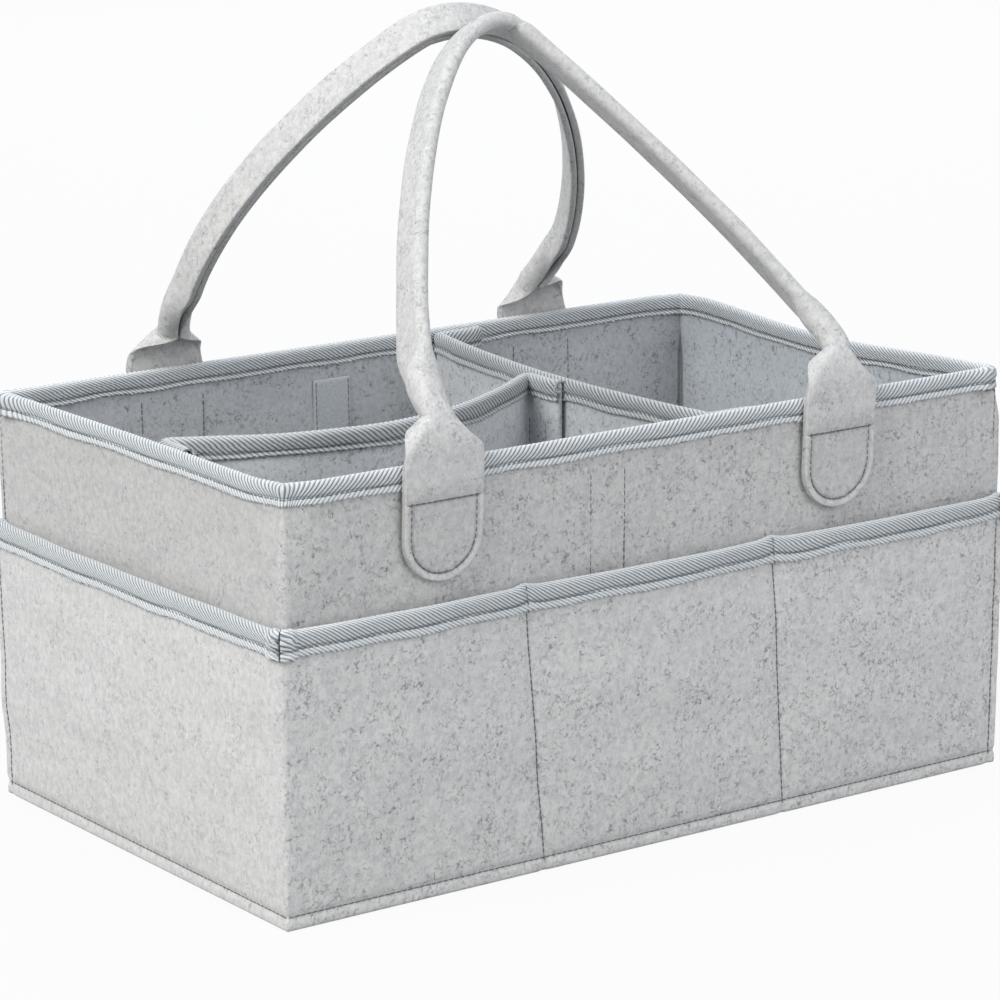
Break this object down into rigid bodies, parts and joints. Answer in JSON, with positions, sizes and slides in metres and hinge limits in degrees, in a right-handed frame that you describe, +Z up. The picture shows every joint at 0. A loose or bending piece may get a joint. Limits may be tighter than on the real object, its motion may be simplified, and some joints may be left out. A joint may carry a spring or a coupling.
{
  "type": "felt storage caddy",
  "caption": "Open rectangular felt caddy with a bound rim, pockets round the outside, folded felt handles that swing, and bowed dividers that lift out of its inside.",
  "frame": {"origin": "middle of the footprint, on the surface that the caddy stands on", "axes": "+X along the long side to the right of someone who faces the front, +Y from front to back, +Z up"},
  "size_m": [0.3999, 0.248, 0.3493],
  "materials": {
    "felt": "light grey heather felt with darker flecks, about 3 mm thick",
    "twill_tape": "pale grey ribbed twill tape, folded over the edges",
    "hook_tape": "grey hook-and-loop tape",
    "thread": "dark grey sewing thread of the seams"
  },
  "bodies": {
    "caddy": {"base_panel": "felt", "wall_front_left": "felt", "wall_back_right": "felt", "pocket_front_left": "felt", "pocket_back_right": "felt", "handle_tab_front_left": "felt", "handle_tab_front_right": "felt", "handle_tab_back_left": "felt", "handle_tab_back_right": "felt", "rim_binding": "twill_tape", "pocket_binding_front": "twill_tape", "pocket_binding_left": "twill_tape", "pocket_binding_back": "twill_tape", "pocket_binding_right": "twill_tape", "wall_strip_front": "hook_tape", "wall_strip_back": "hook_tape"},
    "handle_front": {"handle_front": "felt"},
    "handle_back": {"handle_back": "felt"},
    "cross_divider": {"cross_divider_panel": "felt", "cross_divider_binding": "twill_tape", "cross_divider_hook_front": "hook_tape", "cross_divider_hook_back": "hook_tape"},
    "long_divider": {"long_divider_panel": "felt", "long_divider_binding": "twill_tape", "long_divider_hook_left": "hook_tape", "long_divider_hook_right": "hook_tape"}
  },
  "joints": [
    {"name": "handle_front_swing", "type": "hinge", "parent": "caddy", "child": "handle_front", "pos_m": [-0.0085, -0.1173, 0.1685], "axis": [1, 0, 0], "range_deg": [0, 120]},
    {"name": "handle_back_swing", "type": "hinge", "parent": "caddy", "child": "handle_back", "pos_m": [-0.001, 0.1173, 0.1685], "axis": [-1, 0, 0], "range_deg": [0, 120]},
    {"name": "cross_divider_lift", "type": "slide", "parent": "caddy", "child": "cross_divider", "axis": [0, 0, 1], "range_m": [0, 0.11]},
    {"name": "long_divider_lift", "type": "slide", "parent": "caddy", "child": "long_divider", "axis": [0, 0, 1], "range_m": [0, 0.095]}
  ]
}
